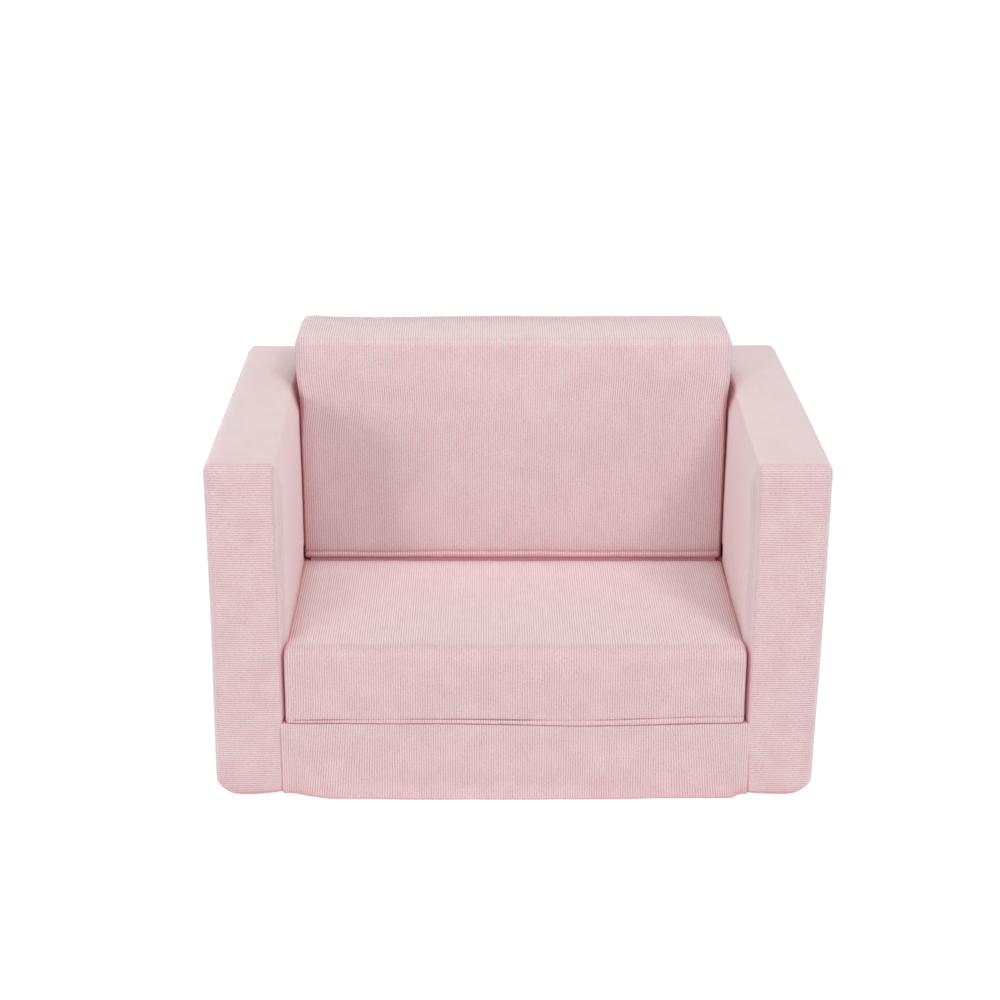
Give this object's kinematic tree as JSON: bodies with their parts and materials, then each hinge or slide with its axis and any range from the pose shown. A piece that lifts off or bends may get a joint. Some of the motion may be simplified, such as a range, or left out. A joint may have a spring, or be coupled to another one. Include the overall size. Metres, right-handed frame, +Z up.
{
  "type": "children's flip-open foam sofa",
  "caption": "Small foam sofa in corduroy covers: the seat flips forward on fabric hinges and the back cushion unfolds with it, making a flat mattress in line with the base.",
  "frame": {"origin": "on the floor, under the middle of the sofa's box at rest", "axes": "+Z up, the front faces -Y, +X runs along the width to the right as seen from the front"},
  "size_m": [0.6656, 0.4559, 0.4586],
  "materials": {
    "corduroy": "fine-wale corduroy, pale pink, matt",
    "foam": "open-cell polyurethane foam, cream",
    "web": "doubled corduroy with a stitched edge",
    "sheet": "non-slip dotted fabric",
    "tape": "woven polyester zip tape with a nylon coil",
    "slider": "lacquered die-cast zip slider and stops"
  },
  "bodies": {
    "frame": {"left_arm_cover": "corduroy", "left_arm_foam": "foam", "right_arm_cover": "corduroy", "right_arm_foam": "foam", "base_cover": "corduroy", "base_foam": "foam", "ledge_cover": "corduroy", "ledge_foam": "foam", "back_wall_cover": "corduroy", "back_wall_foam": "foam", "underside_sheet": "sheet", "front_hinge_base_leaf": "web", "frame_zip_upper_tape": "tape", "frame_zip_lower_tape": "tape", "frame_zip_left_stop": "slider", "frame_zip_right_stop": "slider"},
    "frame_slider": {"frame_zip_slider": "slider"},
    "seat": {"seat_cover": "corduroy", "seat_foam": "foam", "front_hinge_seat_leaf": "web", "rear_hinge_seat_leaf": "web", "seat_zip_upper_tape": "tape", "seat_zip_lower_tape": "tape", "seat_zip_left_stop": "slider", "seat_zip_right_stop": "slider"},
    "seat_slider": {"seat_zip_slider": "slider"},
    "back_cushion": {"back_cushion_cover": "corduroy", "back_cushion_foam": "foam", "rear_hinge_back_leaf": "web", "back_cushion_zip_upper_tape": "tape", "back_cushion_zip_lower_tape": "tape", "back_cushion_zip_left_stop": "slider", "back_cushion_zip_right_stop": "slider"},
    "back_cushion_slider": {"back_cushion_zip_slider": "slider"}
  },
  "joints": [
    {"name": "seat_flip", "type": "hinge", "parent": "frame", "child": "seat", "pos_m": [0, -0.2281, 0.092], "axis": [1, 0, 0], "range_deg": [0, 180]},
    {"name": "back_unfold", "type": "hinge", "parent": "seat", "child": "back_cushion", "pos_m": [0, 0.032, 0.1826], "axis": [1, 0, 0], "range_deg": [-90, 0]},
    {"name": "frame_zip", "type": "slide", "parent": "frame", "child": "frame_slider", "axis": [1, 0, 0], "range_m": [0, 0.457]},
    {"name": "seat_zip", "type": "slide", "parent": "seat", "child": "seat_slider", "axis": [1, 0, 0], "range_m": [0, 0.457]},
    {"name": "back_cushion_zip", "type": "slide", "parent": "back_cushion", "child": "back_cushion_slider", "axis": [1, 0, 0], "range_m": [0, 0.457]}
  ],
  "couplings": [
    {"joint": "back_unfold", "follows": "seat_flip", "ratio": -0.5}
  ]
}
